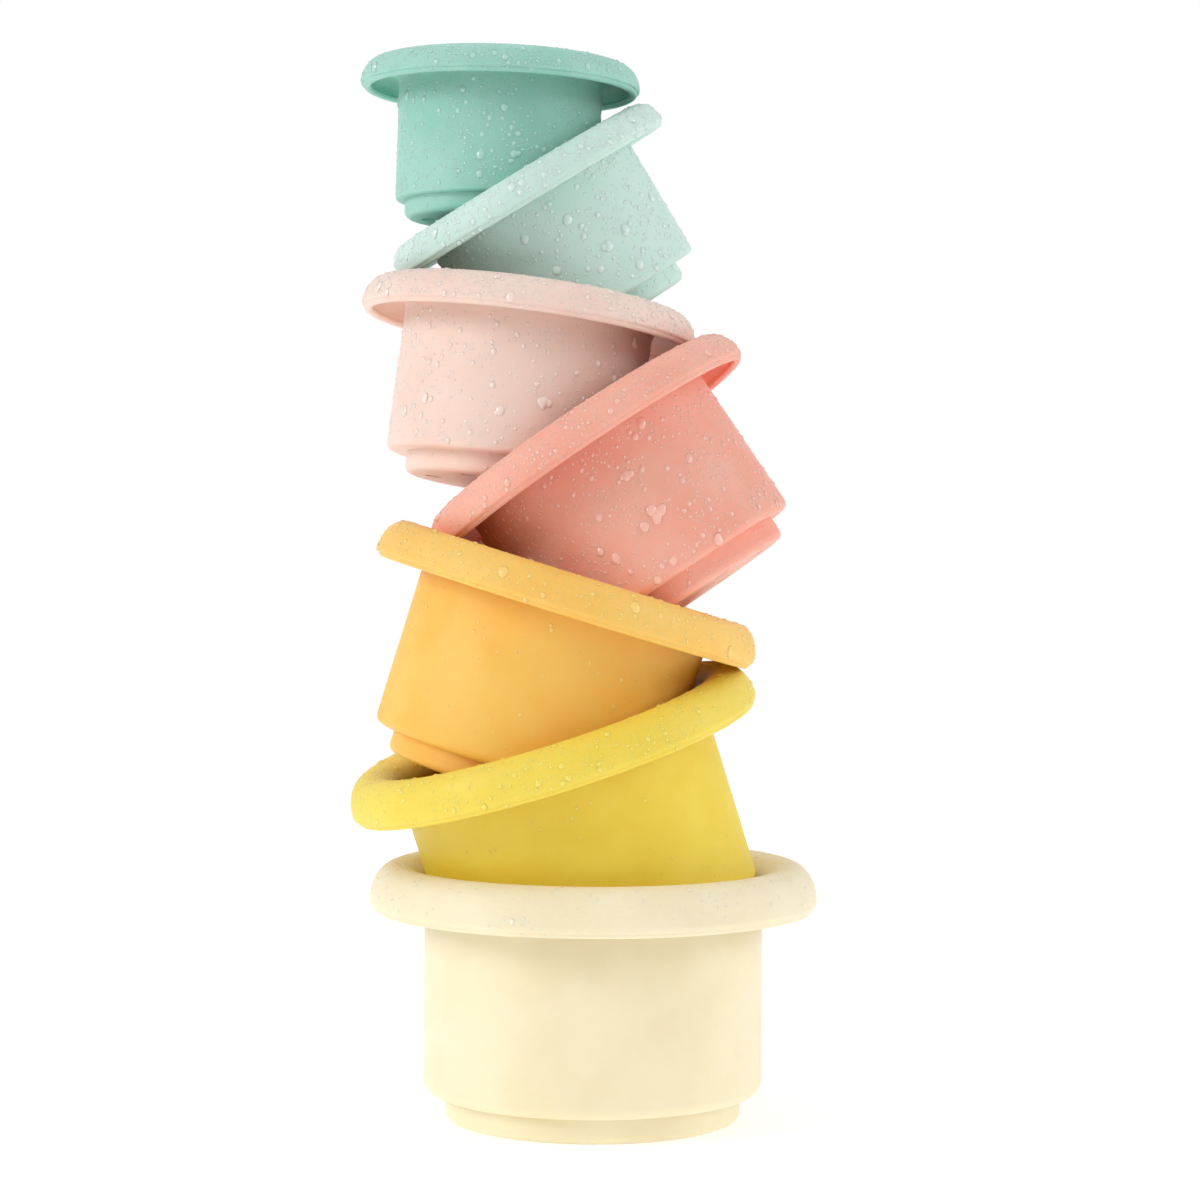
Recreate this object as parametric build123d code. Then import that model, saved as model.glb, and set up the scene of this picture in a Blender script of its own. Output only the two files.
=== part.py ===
from build123d import *
import os

# A tower of seven round silicone stacking cups, balanced one on another.
# Each cup is one moulding: a straight-walled body on a narrower foot, and a wide rim that
# rolls over and hangs free around the body, hollow underneath.
#
# +Z is up, +X is to the right and the front faces -Y. The origin is the centre of the
# largest cup's foot, on the surface that the tower stands on.
# Lengths are in millimetres and angles in degrees.

# ---- The set: the largest cup, and how much less each next cup measures ----

RIM_RADIUS, RIM_RADIUS_STEP = 50.0, 3.15
RIM_HEIGHT, RIM_HEIGHT_STEP = 10.4, 0.67
BODY_RADIUS, BODY_RADIUS_STEP = 37.8, 2.53
BODY_LENGTH, BODY_LENGTH_STEP = 40.8, 2.69
FOOT_HEIGHT, FOOT_HEIGHT_STEP = 5.9, 0.32
BODY_EDGE_RADIUS, BODY_EDGE_RADIUS_STEP = 2.6, 0.32    # where the body steps in to the foot

# The foot stands this far inside the body wall. The smallest cup has hardly any step.
FOOT_INSET = 4.7
SMALLEST_FOOT_INSET = 2.1

# ---- The section that all the cups share ----

WALL = 1.8                  # the skin is equally thick everywhere
LIP_HEIGHT_SHARE = 0.22     # height of the rim's widest point, as a share of the rim's height
LIP_INSET_SHARE = 0.06      # how far the lip turns in below it, as a share of the overhang
CREST_SHARE = 0.47          # place of the crest, from the outside, as a share of the overhang
THROAT_SHARE = 0.9          # depth of the rounded mouth, as a share of the rim's height
FOOT_EDGE_RADIUS = 1.6      # outer edge of the foot
FLOOR_EDGE_RADIUS = 1.5     # inner corners at the bottom of the body
WELL_EDGE_RADIUS = 1.0      # inner corners at the bottom of the foot

# ---- Round drain holes through every floor ----

DRAIN_COUNT = 6
DRAIN_RADIUS = 1.9
DRAIN_RING_SHARE = 0.72     # radius of their ring, as a share of the foot's radius

# ---- How the cups lie: foot centre (x, y, z), tilt to the right, lean to the front ----

CUPS = [
    ("cream_cup", (0.0, 0.0, 0.0), 0.0, 0.0),
    ("yellow_cup", (4.7, 1.0, 38.1), -17.4, 3.6),
    ("orange_cup", (-19.0, -3.3, 74.3), 17.0, -1.7),
    ("coral_cup", (20.7, -4.0, 116.0), -34.3, -4.7),
    ("blush_cup", (-19.7, -0.4, 141.1), 7.3, -5.6),
    ("mint_cup", (2.3, 6.8, 177.3), -31.3, 3.4),
    ("green_cup", (-22.4, 3.7, 200.0), 1.5, -3.1),
]


class CupSize:
    """All the sizes of one cup of the set; number 0 is the largest."""

    def __init__(self, number):
        smallest = number == len(CUPS) - 1
        inset = SMALLEST_FOOT_INSET if smallest else FOOT_INSET
        rim_height = RIM_HEIGHT - number * RIM_HEIGHT_STEP
        self.rim_r = RIM_RADIUS - number * RIM_RADIUS_STEP
        self.body_r = BODY_RADIUS - number * BODY_RADIUS_STEP
        self.foot_r = self.body_r - inset
        self.foot_z = FOOT_HEIGHT - number * FOOT_HEIGHT_STEP
        self.body_edge = BODY_EDGE_RADIUS - number * BODY_EDGE_RADIUS_STEP
        self.lip_z = self.foot_z + BODY_LENGTH - number * BODY_LENGTH_STEP
        self.crest_z = self.lip_z + rim_height
        self.widest_z = self.lip_z + LIP_HEIGHT_SHARE * rim_height
        self.throat_z = self.crest_z - THROAT_SHARE * rim_height
        overhang = self.rim_r - self.body_r
        self.crest_r = self.rim_r - CREST_SHARE * overhang
        self.lip_r = self.rim_r - LIP_INSET_SHARE * overhang


def quarter_ellipse(centre, radii, start, turn):
    """A quarter of an ellipse round centre, turning from the start angle."""
    return EllipticalCenterArc(centre, radii[0], radii[1], start, arc_size=turn)


def outer_skin(cup):
    """The outside of the foot and body, from the axis up to the hollow under the rim."""
    foot_corner = cup.foot_r - FOOT_EDGE_RADIUS
    body_corner = cup.body_r - cup.body_edge
    body_start = cup.foot_z + cup.body_edge
    return [
        Line((0, 0), (foot_corner, 0)),
        CenterArc((foot_corner, FOOT_EDGE_RADIUS), FOOT_EDGE_RADIUS, -90, 90),
        Line((cup.foot_r, FOOT_EDGE_RADIUS), (cup.foot_r, cup.foot_z)),
        Line((cup.foot_r, cup.foot_z), (body_corner, cup.foot_z)),
        CenterArc((body_corner, body_start), cup.body_edge, -90, 90),
        Line((cup.body_r, body_start), (cup.body_r, cup.throat_z)),
    ]


def rim_skin(cup):
    """The hollow under the rim, round the lip and over the crest into the mouth."""
    hollow_top = cup.crest_z - WALL
    lip_end = cup.lip_z + WALL / 2
    inner_wall = cup.body_r - WALL
    return [
        quarter_ellipse((cup.crest_r, cup.throat_z),
                        (cup.crest_r - cup.body_r, hollow_top - cup.throat_z), 180, -90),
        quarter_ellipse((cup.crest_r, cup.widest_z),
                        (cup.rim_r - WALL - cup.crest_r, hollow_top - cup.widest_z), 90, -90),
        Line((cup.rim_r - WALL, cup.widest_z), (cup.lip_r - WALL, lip_end)),
        ThreePointArc((cup.lip_r - WALL, lip_end), (cup.lip_r - WALL / 2, cup.lip_z),
                      (cup.lip_r, lip_end)),
        TangentArc((cup.rim_r, cup.widest_z), (cup.lip_r, lip_end), tangent=(0, -1)),
        quarter_ellipse((cup.crest_r, cup.widest_z),
                        (cup.rim_r - cup.crest_r, cup.crest_z - cup.widest_z), 0, 90),
        quarter_ellipse((cup.crest_r, cup.throat_z),
                        (cup.crest_r - inner_wall, cup.crest_z - cup.throat_z), 90, 90),
    ]


def inner_skin(cup):
    """The inside of the body and the well of the foot, from the mouth down to the axis."""
    inner_wall = cup.body_r - WALL
    well_wall = cup.foot_r - WALL
    ledge = cup.foot_z + WALL
    floor_corner = (inner_wall - FLOOR_EDGE_RADIUS, ledge + FLOOR_EDGE_RADIUS)
    well_corner = (well_wall - WELL_EDGE_RADIUS, WALL + WELL_EDGE_RADIUS)
    return [
        Line((inner_wall, cup.throat_z), (inner_wall, floor_corner[1])),
        CenterArc(floor_corner, FLOOR_EDGE_RADIUS, -90, 90),
        Line((floor_corner[0], ledge), (well_wall, ledge)),
        Line((well_wall, ledge), (well_wall, well_corner[1])),
        CenterArc(well_corner, WELL_EDGE_RADIUS, -90, 90),
        Line((well_corner[0], WALL), (0, WALL)),
        Line((0, WALL), (0, 0)),
    ]


def drain_holes(cup):
    """A ring of round holes through the floor of the foot's well."""
    hole = Cylinder(DRAIN_RADIUS, WALL, align=(Align.CENTER, Align.CENTER, Align.MIN))
    return PolarLocations(cup.foot_r * DRAIN_RING_SHARE, DRAIN_COUNT) * hole


def make_cup(cup):
    """One whole cup, standing upright with its foot's centre at the origin."""
    section = make_face(outer_skin(cup) + rim_skin(cup) + inner_skin(cup))
    body = revolve(Plane.XZ * section, Axis.Z)
    return body - drain_holes(cup)


os.makedirs("parts", exist_ok=True)

for number, (name, foot_centre, tilt, lean) in enumerate(CUPS):
    cup_solid = Pos(*foot_centre) * Rot(Y=tilt) * Rot(X=lean) * make_cup(CupSize(number))
    export_step(cup_solid, os.path.join("parts", name + ".step"))
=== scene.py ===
import math
from collections import namedtuple

import bpy
import numpy as np
from mathutils import Matrix, Vector, noise
from mathutils.bvhtree import BVHTree


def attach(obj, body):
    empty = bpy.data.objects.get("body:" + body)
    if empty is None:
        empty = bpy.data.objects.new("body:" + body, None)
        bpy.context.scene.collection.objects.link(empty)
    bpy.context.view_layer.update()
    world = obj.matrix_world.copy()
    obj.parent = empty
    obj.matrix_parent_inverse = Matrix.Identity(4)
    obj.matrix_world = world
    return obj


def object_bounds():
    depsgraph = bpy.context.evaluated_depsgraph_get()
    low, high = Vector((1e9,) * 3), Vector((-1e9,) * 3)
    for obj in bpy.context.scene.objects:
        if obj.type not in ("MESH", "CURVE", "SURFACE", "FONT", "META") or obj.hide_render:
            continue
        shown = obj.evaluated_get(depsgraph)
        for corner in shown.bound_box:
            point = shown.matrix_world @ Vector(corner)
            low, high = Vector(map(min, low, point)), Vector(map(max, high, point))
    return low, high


# A tower of seven wet silicone stacking cups, balanced one on another.
# Everything is in metres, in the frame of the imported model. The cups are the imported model's own
# meshes with new materials; the water drops on them are built here.

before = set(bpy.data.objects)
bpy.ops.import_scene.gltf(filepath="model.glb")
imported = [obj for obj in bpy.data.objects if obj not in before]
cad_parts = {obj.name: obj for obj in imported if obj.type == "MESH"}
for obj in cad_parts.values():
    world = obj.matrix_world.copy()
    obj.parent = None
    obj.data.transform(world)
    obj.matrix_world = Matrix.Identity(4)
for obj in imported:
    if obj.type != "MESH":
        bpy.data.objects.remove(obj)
cad_low, cad_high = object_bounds()

MM = 0.001

# ---- How each cup looks, from the bottom of the tower up ----
# colour is what the silicone shows in plain light, in 8-bit sRGB. The next three numbers say how
# wet it is: water drops for each square millimetre of the rim, of the body and of the foot. The
# last is how many of them are big, as a multiple of the usual share.

Look = namedtuple("Look", "colour rim_drops body_drops foot_drops big")

LOOKS = {
    "cream": Look((243, 232, 199), 0.05, 0.0, 0.0, 0.2),
    "yellow": Look((243, 217, 76), 0.2, 0.01, 0.0, 1.0),
    "orange": Look((255, 201, 96), 0.22, 0.02, 0.0, 1.2),
    "coral": Look((252, 177, 156), 0.5, 0.35, 0.15, 1.0),
    "blush": Look((248, 219, 205), 0.5, 0.2, 0.06, 1.4),
    "mint": Look((210, 237, 228), 0.55, 0.3, 0.15, 1.8),
    "green": Look((160, 214, 199), 0.5, 0.3, 0.12, 1.0),
}


def linear(colour):
    """An 8-bit sRGB colour as the linear values that a shader takes."""
    parts = [c / 255 for c in colour]
    return np.array([p / 12.92 if p < 0.04 else ((p + 0.055) / 1.055) ** 2.4 for p in parts])


# ---- The cups, as the frame holds them ----

RIM_SHARE = 0.9                 # the rim is what lies beyond this share of the largest radius


class Cup:
    """One packed cup: its triangles, its own axis, and heights and radii measured along it."""

    def __init__(self, body):
        self.body = body
        self.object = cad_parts[body + "_cup"]
        mesh = self.object.data
        mesh.calc_loop_triangles()
        self.points = np.array([v.co for v in mesh.vertices])
        self.triangles = np.array([t.vertices for t in mesh.loop_triangles])
        corners = self.points[self.triangles]
        across = np.cross(corners[:, 1] - corners[:, 0], corners[:, 2] - corners[:, 0])
        doubled = np.linalg.norm(across, axis=1)
        self.areas = doubled / 2
        self.normals = across / np.maximum(doubled, 1e-15)[:, None]
        self.centres = corners.mean(axis=1)
        self.find_axis()
        self.heights, self.radii, self.outward = self.measure(self.centres)
        rim = self.radii > RIM_SHARE * self.radii.max()
        self.lip = self.heights[rim].min()
        self.crest = self.heights.max()
        self.tree = BVHTree.FromPolygons(self.points.tolist(), self.triangles.tolist())

    def find_axis(self):
        """The axis is the one direction in which the cup's spread differs from the other two."""
        weights = self.areas / self.areas.sum()
        middle = weights @ self.centres
        offsets = self.centres - middle
        spreads, directions = np.linalg.eigh((offsets * weights[:, None]).T @ offsets)
        odd = 0 if spreads[1] - spreads[0] > spreads[2] - spreads[1] else 2
        self.axis = directions[:, odd] * np.sign(directions[2, odd])
        lowest = ((self.points - middle) @ self.axis).min()
        self.foot = middle + lowest * self.axis

    def measure(self, points):
        """Heights above the foot, distances from the axis and the directions away from it."""
        heights = (points - self.foot) @ self.axis
        away = points - self.foot - heights[:, None] * self.axis
        radii = np.linalg.norm(away, axis=1)
        return heights, radii, away / np.maximum(radii, 1e-9)[:, None]


cups = [Cup(body) for body in LOOKS]


# ---- Materials ----

# A pattern is its size and the two values of its noise between which it turns from one look to the
# other.
Pattern = namedtuple("Pattern", "size low high")

MOTTLE = Pattern(18 * MM, 0.35, 0.65)   # slightly deeper and slightly paler colour
PATCH = Pattern(14 * MM, 0.38, 0.6)     # drier and wetter parts of a cup's body
GRAIN = Pattern(2.2 * MM, 0.3, 0.7)     # less and more matt
BEAD = Pattern(0.52 * MM, 0.12, 0.42)   # the mist of tiny drops that are too small to model
LINE_SIZE = 0.7 * MM                    # faint rings that the mould leaves round the rim
SKIN_SIZE = 0.35 * MM
LINE_DEPTH = BEAD_DEPTH = 0.04 * MM
SKIN_DEPTH = 0.015 * MM
RIM_BLEND = 1 * MM              # the rim's look fades out over this much above and below its lip
BODY_MIST = 3.5                 # how much of a wet patch is misted for each drop per square mm

# A power above 1 deepens a colour, and one below 1 makes it paler. The misted colour is also a painted
# highlight in the middle of each bead.
# The last of these makes the drops' paler colour, a painted reflection of the white studio.
DEEP, PALE, MIST_AND_HIGHLIGHT, DROP_REFLECTION_PALING = 1.08, 0.95, 0.5, 0.75
DEEP_LEVEL = 0.975
WET_PALING, BEAD_HIGHLIGHT = 0.1, 0.4      # how far wet silicone goes to the misted colour, and how far a bead's middle goes to it as a painted highlight

# Roughness, and how far a bead brings it down
MATT, MATTEST, BEAD_SHINE = 0.46, 0.54, 0.2
WATER_ROUGHNESS, COAT_ROUGHNESS = 0.1, 0.03
WATER_COAT = 0.4

# Light that goes into the silicone and comes out again: how much, and how far from there
GLOW_SHARE, GLOW_DEPTH = 0.6, 1 * MM
LEAST_GLOW = 0.25               # how far a colour that the cup lacks goes, against its strongest
SILICONE_IOR, WATER_IOR = 1.43, 1.45


class Nodes:
    """Short ways to add nodes to one material's tree."""

    def __init__(self, name):
        self.material = bpy.data.materials.new(name)
        self.material.use_nodes = True
        self.tree = self.material.node_tree
        self.shader = self.tree.nodes["Principled BSDF"]
        self.place = self.tree.nodes.new("ShaderNodeTexCoord").outputs["Object"]

    def link(self, source, target):
        self.tree.links.new(source, target)

    def set(self, node, name, value):
        """Links value into an input if it's a socket, and otherwise sets it there."""
        if isinstance(value, bpy.types.NodeSocket):
            self.link(value, node.inputs[name])
        else:
            node.inputs[name].default_value = value

    def maths(self, operation, first, second):
        node = self.tree.nodes.new("ShaderNodeMath")
        node.operation = operation
        self.set(node, 0, first)
        self.set(node, 1, second)
        return node.outputs[0]

    def vector_maths(self, operation, first, second):
        """A dot product or a distance is a number; other operations give a vector."""
        node = self.tree.nodes.new("ShaderNodeVectorMath")
        node.operation = operation
        self.set(node, 0, first)
        self.set(node, 1, second)
        return node.outputs["Value" if operation in ("DOT_PRODUCT", "DISTANCE") else "Vector"]

    def round_axis(self, cup):
        """Height above the cup's foot, measured along its axis, and distance from that axis."""
        from_foot = self.vector_maths("SUBTRACT", self.place, tuple(cup.foot))
        height = self.vector_maths("DOT_PRODUCT", from_foot, tuple(cup.axis))
        on_axis = self.tree.nodes.new("ShaderNodeVectorMath")
        on_axis.operation = "SCALE"
        on_axis.inputs[0].default_value = tuple(cup.axis)
        self.link(height, on_axis.inputs["Scale"])
        return height, self.vector_maths("DISTANCE", from_foot, on_axis.outputs["Vector"])

    def noise(self, size, detail=2.0, place=None):
        """Soft noise with patches about size metres across."""
        node = self.tree.nodes.new("ShaderNodeTexNoise")
        node.inputs["Scale"].default_value = 1 / size
        node.inputs["Detail"].default_value = detail
        self.link(place or self.place, node.inputs["Vector"])
        return node.outputs["Fac"]

    def cells(self, size):
        """Distance to the nearest of a scatter of points about size metres apart, 0 to about 1."""
        node = self.tree.nodes.new("ShaderNodeTexVoronoi")
        node.inputs["Scale"].default_value = 1 / size
        self.link(self.place, node.inputs["Vector"])
        return node.outputs["Distance"]

    def ramp(self, value, low, high, to_low=0.0, to_high=1.0, kind="SMOOTHSTEP"):
        """to_low where value is low or less, to_high where it is high or more, easy between."""
        node = self.tree.nodes.new("ShaderNodeMapRange")
        node.interpolation_type = kind
        self.link(value, node.inputs["Value"])
        for name, number in zip(("From Min", "From Max", "To Min", "To Max"),
                                (low, high, to_low, to_high)):
            node.inputs[name].default_value = number
        return node.outputs["Result"]

    def mix(self, share, first, second):
        node = self.tree.nodes.new("ShaderNodeMix")
        node.data_type = "RGBA"
        self.set(node, 0, share)
        for name, colour in ((6, first), (7, second)):
            self.set(node, name, colour if isinstance(colour, bpy.types.NodeSocket) else (*colour, 1))
        return node.outputs[2]

    def bump(self, height, depth, normal=None):
        """A bump of that depth where height is 1, laid over an earlier bump if one is given."""
        node = self.tree.nodes.new("ShaderNodeBump")
        node.inputs["Strength"].default_value = 1.0
        node.inputs["Distance"].default_value = depth
        self.link(height, node.inputs["Height"])
        if normal is not None:
            self.link(normal, node.inputs["Normal"])
        return node.outputs["Normal"]


def silicone(cup, look):
    """Soft matt silicone: faint mottling, a fine grain, and a mist of water on the wetter parts, with a
    painted highlight in the middle of each tiny bead.
    """
    n = Nodes(cup.body + "_silicone_look")
    base = linear(look.colour)
    deep = tuple(base ** DEEP * DEEP_LEVEL)
    pale = tuple(base ** PALE)
    mist_and_highlight = tuple(base ** MIST_AND_HIGHLIGHT)

    height, radius = n.round_axis(cup)
    rim = n.ramp(height, cup.lip - RIM_BLEND, cup.lip + RIM_BLEND)
    patches = n.ramp(n.noise(PATCH.size), PATCH.low, PATCH.high)
    wet_body = min(1.0, look.body_drops * BODY_MIST)
    wet = n.maths("MAXIMUM", rim, n.maths("MULTIPLY", patches, wet_body))
    beads = n.maths("MULTIPLY", n.ramp(n.cells(BEAD.size), BEAD.low, BEAD.high, 1.0, 0.0), wet)

    colour = n.mix(n.ramp(n.noise(MOTTLE.size, 3.0), MOTTLE.low, MOTTLE.high), deep, pale)
    colour = n.mix(n.maths("MULTIPLY", wet, WET_PALING), colour, mist_and_highlight)
    # Each bead's middle goes towards the misted colour: a painted highlight.
    colour = n.mix(n.maths("MULTIPLY", beads, BEAD_HIGHLIGHT), colour, mist_and_highlight)
    n.link(colour, n.shader.inputs["Base Color"])

    grain = n.ramp(n.noise(GRAIN.size, 4.0), GRAIN.low, GRAIN.high, MATT, MATTEST, "LINEAR")
    shine = n.maths("MULTIPLY", beads, BEAD_SHINE)
    n.link(n.maths("SUBTRACT", grain, shine), n.shader.inputs["Roughness"])

    skin = n.bump(n.noise(SKIN_SIZE, 3.0), SKIN_DEPTH)
    section = n.tree.nodes.new("ShaderNodeCombineXYZ")
    n.link(radius, section.inputs["X"])
    n.link(height, section.inputs["Y"])
    lines = n.maths("MULTIPLY", n.noise(LINE_SIZE, 1.0, section.outputs[0]), rim)
    lined = n.bump(lines, LINE_DEPTH, skin)
    n.link(n.bump(beads, BEAD_DEPTH, lined), n.shader.inputs["Normal"])

    # The cup's strongest colour goes deepest, and the weaker ones less deep.
    reach = LEAST_GLOW + (1 - LEAST_GLOW) * (base / base.max()) ** 2
    n.shader.inputs["Subsurface Weight"].default_value = GLOW_SHARE
    n.shader.inputs["Subsurface Scale"].default_value = GLOW_DEPTH
    n.shader.inputs["Subsurface Radius"].default_value = tuple(reach)
    n.shader.inputs["IOR"].default_value = SILICONE_IOR
    return n.material


def water_on(cup, look):
    """A drop is opaque, painted with the cup's colour behind it and made a bit paler as a painted
    reflection of the white studio; its sharp highlights are its own.
    """
    material = bpy.data.materials.new(cup.body + "_water_look")
    material.use_nodes = True
    shader = material.node_tree.nodes["Principled BSDF"]
    # The cup's colour behind the drop, made paler: a painted reflection of the white studio.
    behind_and_reflection = linear(look.colour) ** DROP_REFLECTION_PALING
    shader.inputs["Base Color"].default_value = (*behind_and_reflection, 1)
    shader.inputs["Roughness"].default_value = WATER_ROUGHNESS
    shader.inputs["IOR"].default_value = WATER_IOR
    shader.inputs["Coat Weight"].default_value = WATER_COAT
    shader.inputs["Coat Roughness"].default_value = COAT_ROUGHNESS
    return material


for cup in cups:
    cup.object.material_slots[0].material = silicone(cup, LOOKS[cup.body])


# ---- Water drops ----

NEIGHBOUR_GAP = 2.4 * MM        # drops keep this far from the next cup
RIM_TOP_DEPTH = 4 * MM          # faces that look up hold drops down to this far below the crest
FOOT_TOP = 6 * MM               # the foot's drops are up to this height
UPWARD, SIDEWAYS = 0.5, 0.3     # how far a face looks up or out, at least, to hold drops
OVERHANG = -0.3                 # faces that look further down than this stay dry
BIG_DROP = 0.5 * MM             # kinds whose largest drops have a radius above this are big
EDGE_ANGLE = 44                 # how steeply a drop's edge meets the silicone, in degrees
FOOT_SINK = 0.12                # how far a drop's foot is sunk in, as a share of its height
GATHER_SIZE = 11 * MM           # the size of the patches where drops gather
GATHER = 0.75                   # 0 would spread the drops evenly, and 1 leave dry patches
SPARE_PICKS = 2.2               # places tried for each drop that is wanted
SMALL_BIAS = 1.6                # above 1, small drops are commoner than large ones
GRID_CELL = 2.2 * MM            # drops further apart than this are never compared
HEAVY_DROP = 1.4 * MM           # the radius at which a drop gives way fully to its weight
SAG, LEAN = 0.25, 0.3           # how far it then stretches and bulges downhill
STRETCH_SPREAD = 0.06           # how much longer than wide a light drop can be
WOBBLY_DROP, ROUND_SHARE = 1.1 * MM, 0.45   # drops below that share of this radius stay round
WOBBLE = 0.2                    # how far the others can stray from round
LOWEST, HEIGHT_SPREAD = 0.85, 0.3       # a drop's height against its kind's, and its spread
LEVEL = 0.1                     # below this steepness a face has no downhill
RAY_START, RAY_LENGTH = 0.3 * MM, 0.15  # the ray that looks for a face over a drop

DropKind = namedtuple("DropKind", "share smallest largest rings sides flatness")

# Sizes are footprint radii. flatness is a drop's height against its radius.
DROP_KINDS = [
    DropKind(0.008, 0.8 * MM, 1.2 * MM, 5, 18, 0.42),
    DropKind(0.11, 0.42 * MM, 0.7 * MM, 4, 12, 0.4),
    DropKind(0.882, 0.22 * MM, 0.4 * MM, 3, 8, 0.34),
]

# Drops that have run together: where they are, as degrees round the cup from its front and height
# above its foot; the length of the dry track above a drop that has slid; and their lobes in mm,
# each as how far below and right of there it is, and its radius.
MERGED_KIND = DropKind(0, 0, 0, 5, 18, 0.4)
TRACK_START, TRACK_STEP, TRACK_RADIUS = 3 * MM, 1.2 * MM, 1.8 * MM

Merged = namedtuple("Merged", "angle height track lobes")

MERGED_DROPS = {
    "coral": [
        Merged(9, 18 * MM, 13 * MM,
               [(-0.8, -1.1, 1.2), (-1.0, 1.1, 1.1), (0.2, 0, 1.3), (1.3, 0.1, 0.9)]),
        Merged(7.5, 28.5 * MM, 0, [(0, 0, 1.1), (-0.4, 0.9, 0.8), (0.2, -0.9, 0.7)]),
        Merged(-15, 15 * MM, 6 * MM, [(0, 0, 1.1), (0.7, 0.4, 0.7)]),
    ],
    "blush": [
        Merged(12.5, 16.5 * MM, 0, [(0, 0, 1.2), (0.2, 1.3, 0.8)]),
        Merged(-6, 13.5 * MM, 0, [(0, 0, 1.0), (0.5, -0.7, 0.6)]),
    ],
    "mint": [Merged(20, 15 * MM, 0, [(0, 0, 1.1), (0.3, -1.1, 0.7)])],
    "green": [Merged(10.5, 12 * MM, 0, [(0, 0, 0.85), (-0.1, 0.95, 0.6)])],
}


def find_merged(cup):
    """(point, normal, radius) for the lobes of a cup's merged drops and for spots on their tracks.
    The spots only keep other drops away and have no normal."""
    lobes, track = [], []
    axis = Vector(cup.axis)
    front = Vector((0, -1, 0))
    front = (front - axis * front.dot(axis)).normalized()
    for merged in MERGED_DROPS.get(cup.body, ()):
        outward = Matrix.Rotation(math.radians(merged.angle), 3, axis) @ front
        start = Vector(cup.foot) + axis * merged.height + outward * 0.1
        spot, normal, _, _ = cup.tree.ray_cast(start, -outward)
        down = Vector((0, 0, -1))
        down = (down - normal * down.dot(normal)).normalized()
        across = normal.cross(down)
        for below, right, radius in merged.lobes:
            point = spot + (down * below + across * right) * MM
            lobes.append((np.array(point), np.array(normal), radius * MM))
        for step in np.arange(TRACK_START, merged.track, TRACK_STEP):
            track.append((np.array(spot - down * step), None, TRACK_RADIUS))
    return lobes, track


def patchiness(point):
    """1 on average: water gathers in some patches and leaves others nearly clear."""
    coarse = noise.noise(Vector(point) / GATHER_SIZE)
    fine = noise.noise(Vector(point) / (0.3 * GATHER_SIZE))
    return 1 + GATHER * max(-1.0, min(1.0, 1.6 * (coarse + 0.4 * fine)))


def wet_faces(cup, look):
    """How many drops each triangle of the cup would get on average."""
    upward = cup.normals @ cup.axis
    sideways = np.einsum("ij,ij->i", cup.normals, cup.outward)
    top = (upward > UPWARD) & (cup.heights > cup.crest - RIM_TOP_DEPTH)
    side = (sideways > SIDEWAYS) & (upward > OVERHANG)
    drops = np.zeros(len(cup.areas))
    on_rim = cup.heights > cup.lip
    drops[(top | side) & on_rim] = look.rim_drops
    drops[side & ~on_rim] = look.body_drops
    drops[side & (cup.heights < FOOT_TOP)] = look.foot_drops
    return drops * cup.areas / MM ** 2


def is_open(cup, neighbours, point, normal, reach):
    """True if nothing of the cup itself faces this spot and no other cup is near it."""
    point, normal = Vector(point), Vector(normal)
    if cup.tree.ray_cast(point + normal * RAY_START, normal, RAY_LENGTH)[0] is not None:
        return False
    gap = NEIGHBOUR_GAP + reach
    return all(other.tree.find_nearest(point, gap)[0] is None for other in neighbours)


def scatter(cup, neighbours, look, random):
    """(point, normal, size) for the drops of each kind, largest first, with none over another."""
    expected = wet_faces(cup, look)
    faces = np.flatnonzero(expected)
    chances = expected[faces] / expected.sum()
    taken = {}

    def cell(point):
        return tuple(np.floor(point / GRID_CELL).astype(int))

    def take(point, size):
        taken.setdefault(cell(point), []).append((tuple(point), size))

    def is_free(point, size):
        home = cell(point)
        near = (taken.get((home[0] + i, home[1] + j, home[2] + k), ())
                for i in (-1, 0, 1) for j in (-1, 0, 1) for k in (-1, 0, 1))
        return all(math.dist(point, other) >= size + radius for group in near for other, radius in group)

    lobes, track = find_merged(cup)
    for point, _, size in lobes + track:
        take(point, size)
    placed = {MERGED_KIND: lobes}
    for kind in DROP_KINDS:
        share = kind.share * look.big if kind.largest > BIG_DROP else kind.share
        wanted = int(expected.sum() * share)
        picked = random.choice(faces, size=int(wanted * SPARE_PICKS), p=chances)
        spots = random.random((len(picked), 2))
        spread = random.random(len(picked)) ** SMALL_BIAS
        sizes = kind.smallest + (kind.largest - kind.smallest) * spread
        luck = random.random(len(picked)) * (1 + GATHER)
        found = []
        for face, (u, v), size, chance in zip(picked, spots, sizes, luck):
            if len(found) >= wanted:
                break
            if u + v > 1:
                u, v = 1 - u, 1 - v
            a, b, c = cup.points[cup.triangles[face]]
            point = a + u * (b - a) + v * (c - a)
            normal = cup.normals[face]
            top = point + normal * size
            if (chance > patchiness(point) or not is_free(point, size)
                    or not is_open(cup, neighbours, point, normal, size)
                    or (top < np.array(cad_low) + size).any()
                    or (top > np.array(cad_high) - size).any()):
                continue
            take(point, size)
            found.append((point, normal, size))
        placed[kind] = found
    return placed


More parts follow.
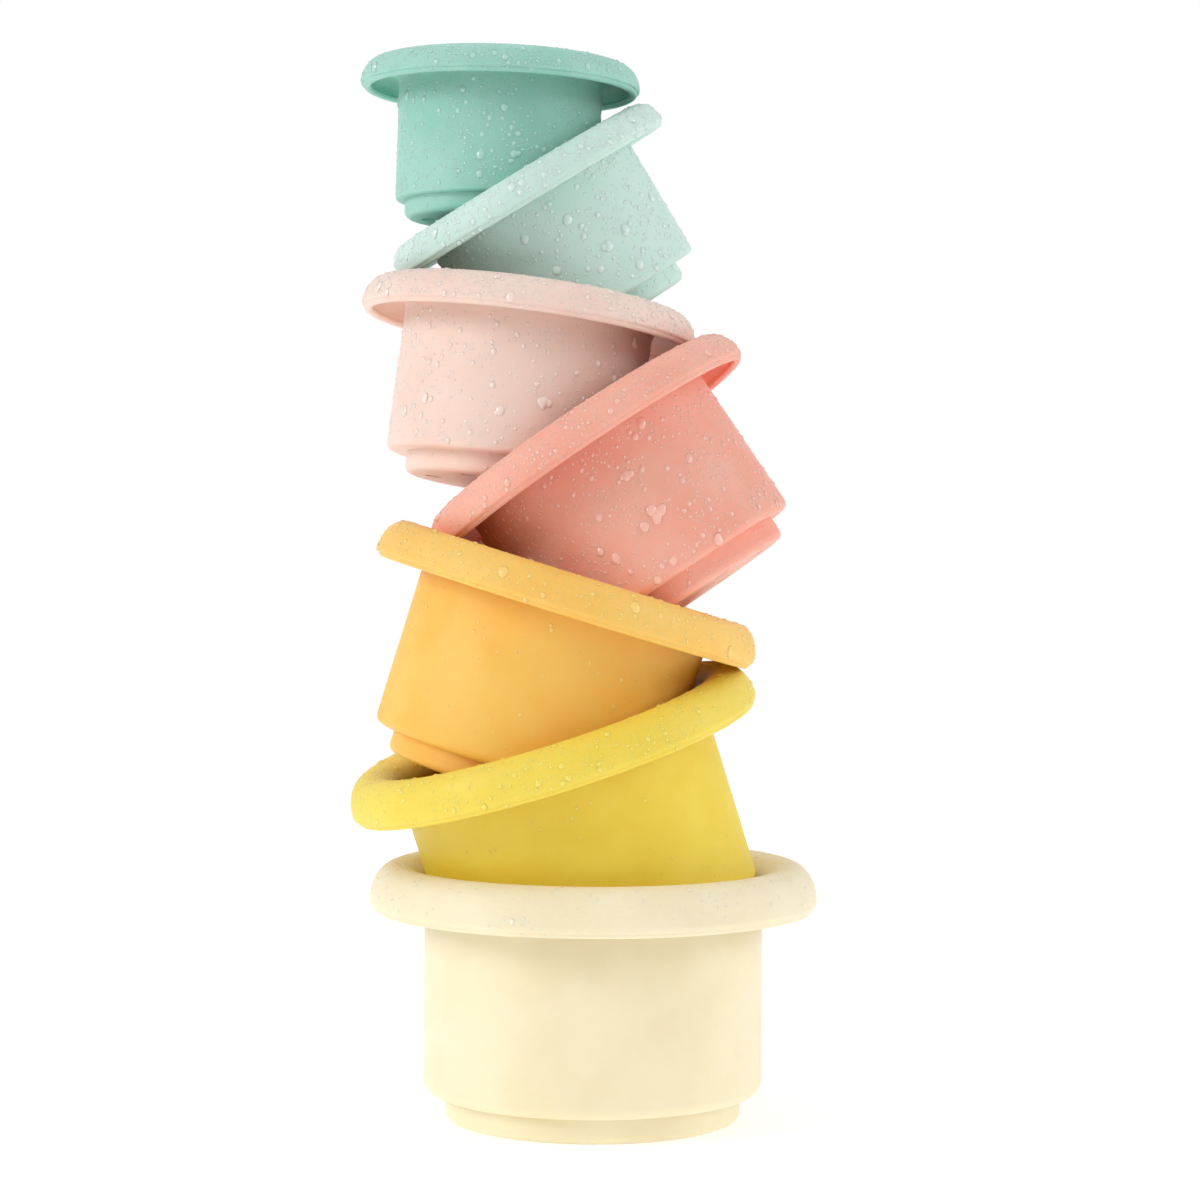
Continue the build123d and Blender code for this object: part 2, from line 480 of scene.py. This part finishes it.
def unit_dome(rings, sides):
    """The upper part of a ball with a unit-wide foot, and its faces. Its foot is a little sunk."""
    steepest = math.radians(EDGE_ANGLE)
    points = [(0, 0, 1)]
    for ring in range(1, rings + 1):
        down = steepest * ring / rings
        for side in range(sides):
            turn = 2 * math.pi * side / sides
            reach = math.sin(down) / math.sin(steepest)
            level = (math.cos(down) - math.cos(steepest)) / (1 - math.cos(steepest))
            level = level * (1 + FOOT_SINK) - FOOT_SINK
            points.append((reach * math.cos(turn), reach * math.sin(turn), level))
    faces = []
    for side in range(sides):
        after = (side + 1) % sides
        faces.append((0, 1 + side, 1 + after))
        for ring in range(rings - 1):
            upper, lower = 1 + ring * sides, 1 + (ring + 1) * sides
            faces.append((upper + side, lower + side, lower + after, upper + after))
    faces.append(tuple(1 + (rings - 1) * sides + side for side in reversed(range(sides))))
    return np.array(points), faces


def shape_drops(kind, found, random):
    """All the drops of one kind as points and faces. Heavier drops hang lower and bulge below."""
    unit, faces = unit_dome(kind.rings, kind.sides)
    centres, normals, sizes = (np.array(values) for values in zip(*found))
    down = np.array([0, 0, -1.0]) - normals * (normals @ np.array([0, 0, -1.0]))[:, None]
    steepness = np.linalg.norm(down, axis=1)
    side = np.array([1.0, 0, 0]) - normals * normals[:, :1]
    down = np.where(steepness[:, None] > LEVEL, down, side)
    down /= np.linalg.norm(down, axis=1)[:, None]
    across = np.cross(normals, down)

    # How much each drop gives way to its own weight, is stretched downhill, strays from round and
    # stands out.
    weight = np.clip(sizes / HEAVY_DROP, 0, 1) * steepness
    longer = 1 + SAG * weight + STRETCH_SPREAD * random.random(len(found))
    turn = random.random(len(found)) * 2 * math.pi
    uneven = np.clip(sizes / WOBBLY_DROP - ROUND_SHARE, 0, 1)
    wobble = WOBBLE * uneven * random.random(len(found))
    height = kind.flatness * (LOWEST + HEIGHT_SPREAD * random.random(len(found)))

    weight, longer, turn, wobble, height = (values[:, None]
                                            for values in (weight, longer, turn, wobble, height))
    unit_x, unit_y, unit_z = unit.T[:, None, :]
    swell = 1 + wobble * np.cos(3 * (np.arctan2(unit_y, unit_x) + turn))
    x = unit_x * swell * longer + LEAN * weight * np.maximum(unit_z, 0)
    y = unit_y * swell
    z = unit_z * height * (1 + SAG * weight * unit_x)
    offsets = (x[..., None] * down[:, None, :] + y[..., None] * across[:, None, :]
               + z[..., None] * normals[:, None, :])
    points = centres[:, None, :] + sizes[:, None, None] * offsets
    firsts = range(0, len(found) * len(unit), len(unit))
    return points.reshape(-1, 3), [tuple(i + first for i in face) for first in firsts for face in faces]


def add_water(cup, neighbours, look, material, random):
    """One piece with all the water on a cup."""
    points, faces = [], []
    for kind, found in scatter(cup, neighbours, look, random).items():
        if not found:
            continue
        new_points, new_faces = shape_drops(kind, found, random)
        faces += [tuple(i + len(points) for i in face) for face in new_faces]
        points += new_points.tolist()
    mesh = bpy.data.meshes.new(cup.body + "_water")
    mesh.from_pydata(points, [], faces)
    # Every face of a drop has three or four corners but its hidden foot, which stays flat so that
    # it doesn't darken the drop's edge.
    mesh.polygons.foreach_set("use_smooth", [len(face) < 5 for face in faces])
    mesh.materials.append(material)
    water = bpy.data.objects.new(cup.body + "_water", mesh)
    bpy.context.scene.collection.objects.link(water)
    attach(water, cup.body)


for number, cup in enumerate(cups):
    beside = [cups[i] for i in (number - 1, number + 1) if 0 <= i < len(cups)]
    look = LOOKS[cup.body]
    add_water(cup, beside, look, water_on(cup, look), np.random.default_rng(number))


# ---- Floor, light and camera ----

FLOOR_HALF_SIZE = 0.6
FLOOR_WHITES = (0.93, 0.93, 0.925), (0.95, 0.95, 0.95)
FLOOR_PATCH = 60 * MM           # how wide the floor's patches of each white are
FLOOR_ROUGHNESS = 0.8
FLOOR_GLOW = 0.3                # keeps the floor as white as the studio's walls
FRONT_LEVEL, SIDE_LEVEL = 0.58, 0.78    # the studio's light from the front and from the sides
LOW_SHARE = 0.45                # what is left of it from well below

CAMERA_PLACE = (0.00114, -0.7417, 0.1455)
CAMERA_PITCH, CAMERA_ROLL = 0.04, 0.005         # radians; the pitch is downward
CAMERA_LENS, CAMERA_SENSOR = 99.84, 36          # mm


def add_floor():
    size = FLOOR_HALF_SIZE
    mesh = bpy.data.meshes.new("floor")
    corners = [(-size, -size, 0), (size, -size, 0), (size, size, 0), (-size, size, 0)]
    mesh.from_pydata(corners, [], [(0, 1, 2, 3)])
    n = Nodes("floor_paper")
    n.link(n.mix(n.noise(FLOOR_PATCH), *FLOOR_WHITES), n.shader.inputs["Base Color"])
    n.shader.inputs["Roughness"].default_value = FLOOR_ROUGHNESS
    n.shader.inputs["Emission Color"].default_value = (1, 1, 1, 1)
    n.shader.inputs["Emission Strength"].default_value = FLOOR_GLOW
    mesh.materials.append(n.material)
    floor = bpy.data.objects.new("floor", mesh)
    bpy.context.scene.collection.objects.link(floor)


def add_sun(name, towards, width, level):
    """A soft far light. width is how wide its disc looks, in degrees; level is how bright it makes
    a white surface that faces it."""
    light = bpy.data.lights.new(name, "SUN")
    light.angle = math.radians(width)
    light.energy = level * math.pi
    lamp = bpy.data.objects.new(name, light)
    lamp.rotation_euler = Vector(towards).to_track_quat("Z", "Y").to_euler()
    bpy.context.scene.collection.objects.link(lamp)


def add_world():
    """White all round for the camera; as a light it is dimmer from the front and from below."""
    world = bpy.data.worlds.new("studio")
    world.use_nodes = True
    tree = world.node_tree
    background = tree.nodes["Background"]
    background.inputs["Color"].default_value = (1, 1, 1, 1)
    split = tree.nodes.new("ShaderNodeSeparateXYZ")
    tree.links.new(tree.nodes.new("ShaderNodeTexCoord").outputs["Generated"], split.inputs[0])
    level = tree.nodes.new("ShaderNodeMapRange")
    level.interpolation_type = "SMOOTHSTEP"
    tree.links.new(split.outputs["Y"], level.inputs["Value"])
    for name, number in (("From Min", -0.9), ("From Max", 0.1),
                         ("To Min", FRONT_LEVEL), ("To Max", SIDE_LEVEL)):
        level.inputs[name].default_value = number
    rise = tree.nodes.new("ShaderNodeMapRange")
    tree.links.new(split.outputs["Z"], rise.inputs["Value"])
    for name, number in (("From Min", -0.5), ("From Max", 0.1), ("To Min", LOW_SHARE), ("To Max", 1.0)):
        rise.inputs[name].default_value = number
    light = tree.nodes.new("ShaderNodeMath")
    light.operation = "MULTIPLY"
    tree.links.new(level.outputs[0], light.inputs[0])
    tree.links.new(rise.outputs[0], light.inputs[1])
    seen = tree.nodes.new("ShaderNodeLightPath").outputs["Is Camera Ray"]
    mix = tree.nodes.new("ShaderNodeMix")
    tree.links.new(seen, mix.inputs[0])
    tree.links.new(light.outputs[0], mix.inputs[2])
    mix.inputs[3].default_value = 1.0
    tree.links.new(mix.outputs[0], background.inputs["Strength"])
    bpy.context.scene.world = world


def add_camera():
    """A long lens a little above the middle of the tower, looking slightly down."""
    data = bpy.data.cameras.new("camera")
    data.sensor_width = CAMERA_SENSOR
    data.lens = CAMERA_LENS
    camera = bpy.data.objects.new("camera", data)
    camera.matrix_world = (Matrix.Translation(CAMERA_PLACE)
                           @ Matrix.Rotation(math.pi / 2 - CAMERA_PITCH, 4, "X")
                           @ Matrix.Rotation(CAMERA_ROLL, 4, "Z"))
    bpy.context.scene.collection.objects.link(camera)
    bpy.context.scene.camera = camera


add_floor()
add_world()
add_sun("left_softbox", (-1.0, -0.45, 0.6), 24, 0.32)
add_sun("right_softbox", (1.0, -0.2, 0.5), 24, 0.2)
add_camera()
bpy.context.scene.view_settings.view_transform = "Standard"
